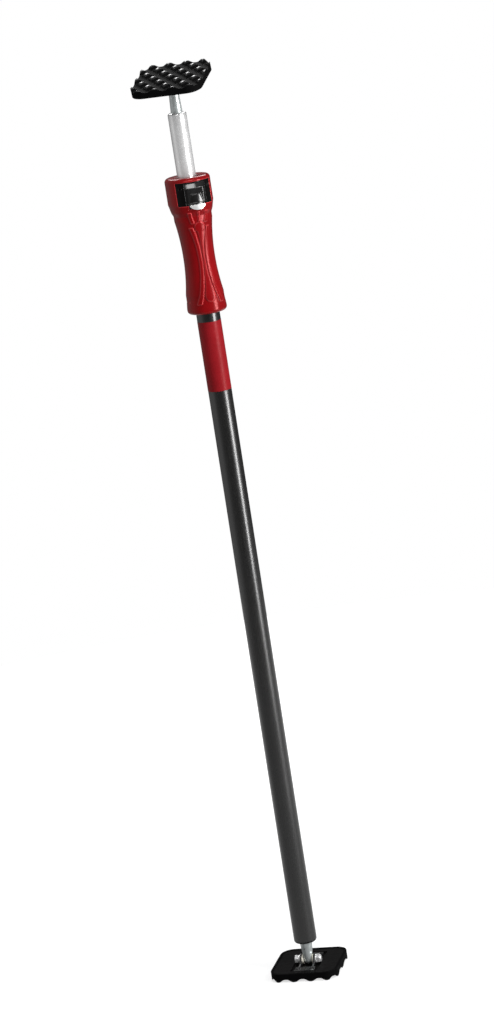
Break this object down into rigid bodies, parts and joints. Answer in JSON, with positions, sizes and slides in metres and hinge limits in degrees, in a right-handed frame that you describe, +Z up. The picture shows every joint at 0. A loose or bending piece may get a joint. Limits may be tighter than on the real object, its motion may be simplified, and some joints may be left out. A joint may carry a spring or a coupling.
{
  "type": "adjustable steel prop",
  "caption": "Telescopic steel prop: plated tube in a painted tube, red screw grip with one-hand clamp, square rubber-faced pad on a fork hinge at each end.",
  "frame": {"origin": "centre of the foot pad's tread, on the floor under the foot hinge", "axes": "+Z up along the tubes to the head pad, X along both hinge bolts, -Y is the front that the head pad leans towards"},
  "size_m": [0.084, 0.0859, 1.1174],
  "materials": {
    "rubber": "matt moulded tread",
    "black_plastic": "glossy moulding",
    "plated_steel": "bright zinc plating",
    "plated_neck": "bluish zinc plating",
    "nylon": "natural nylon",
    "tube_paint": "satin dark grey paint",
    "red_plastic": "glossy deep red moulding",
    "red_film": "smooth red film, bare",
    "steel": "plain oiled steel",
    "black_steel": "black satin coating",
    "black_screws": "black oxide"
  },
  "bodies": {
    "foot": {"foot_pad": "rubber", "foot_plate": "black_plastic", "foot_bracket": "black_steel", "foot_rivets": "plated_steel", "foot_pivot_bolt": "plated_steel", "foot_pivot_nut": "plated_steel", "foot_pivot_washers": "plated_steel", "foot_friction_washers": "nylon"},
    "outer": {"foot_neck": "plated_neck", "foot_plug": "nylon", "outer_tube": "tube_paint", "tube_label": "red_film", "mouth_bush": "nylon"},
    "riser": {"grip_bush": "nylon"},
    "grip": {"jack_nut": "steel", "jack_sleeve": "steel", "handle_front": "red_plastic", "handle_back": "red_plastic", "handle_screws": "black_screws", "lock_cover": "black_plastic", "trigger_pin": "plated_steel", "plate_spring": "steel"},
    "lever": {"trigger": "black_plastic"},
    "plates": {"release_plate": "plated_steel", "jam_plates": "steel"},
    "guide": {"top_bush": "nylon"},
    "inner": {"inner_tube": "plated_steel", "inner_bush": "nylon", "head_neck": "plated_neck", "head_plug": "nylon"},
    "head": {"head_bracket": "black_steel", "head_rivets": "plated_steel", "head_pivot_bolt": "plated_steel", "head_pivot_nut": "plated_steel", "head_pivot_washers": "plated_steel", "head_friction_washers": "nylon", "head_plate": "black_plastic", "head_pad": "rubber"}
  },
  "joints": [
    {"name": "foot_tilt", "type": "hinge", "parent": "foot", "child": "outer", "pos_m": [0, 0, 0.013], "axis": [1, 0, 0], "range_deg": [-60, 60]},
    {"name": "grip_rise", "type": "slide", "parent": "outer", "child": "riser", "axis": [0, 0, 1], "range_m": [0, 0.04]},
    {"name": "grip_turn", "type": "hinge", "parent": "riser", "child": "grip", "pos_m": [0, 0, 0.827], "axis": [0, 0, 1], "range_deg": [0, 3600]},
    {"name": "inner_turn", "type": "hinge", "parent": "riser", "child": "guide", "pos_m": [0, 0, 0.827], "axis": [0, 0, 1], "continuous": true},
    {"name": "inner_slide", "type": "slide", "parent": "guide", "child": "inner", "axis": [0, 0, 1], "range_m": [-0.066, 0.63]},
    {"name": "head_tilt", "type": "hinge", "parent": "inner", "child": "head", "pos_m": [0, 0, 1.095], "axis": [1, 0, 0], "range_deg": [-73.5, 46.5]},
    {"name": "lever_pull", "type": "hinge", "parent": "grip", "child": "lever", "pos_m": [0.0106, -0.01696, 0.977], "axis": [0.848, 0.5299, 0], "range_deg": [0, 8], "stiffness_Nm_per_rad": 1, "springref_deg": -5.73},
    {"name": "plates_tilt", "type": "hinge", "parent": "grip", "child": "plates", "pos_m": [0.00768, -0.0123, 0.9522], "axis": [0.848, 0.5299, 0], "range_deg": [0, 2.8]}
  ],
  "couplings": [
    {"joint": "grip_turn", "follows": "grip_rise", "rad_per_m": 1570.8},
    {"joint": "plates_tilt", "follows": "lever_pull", "ratio": 0.3375}
  ]
}
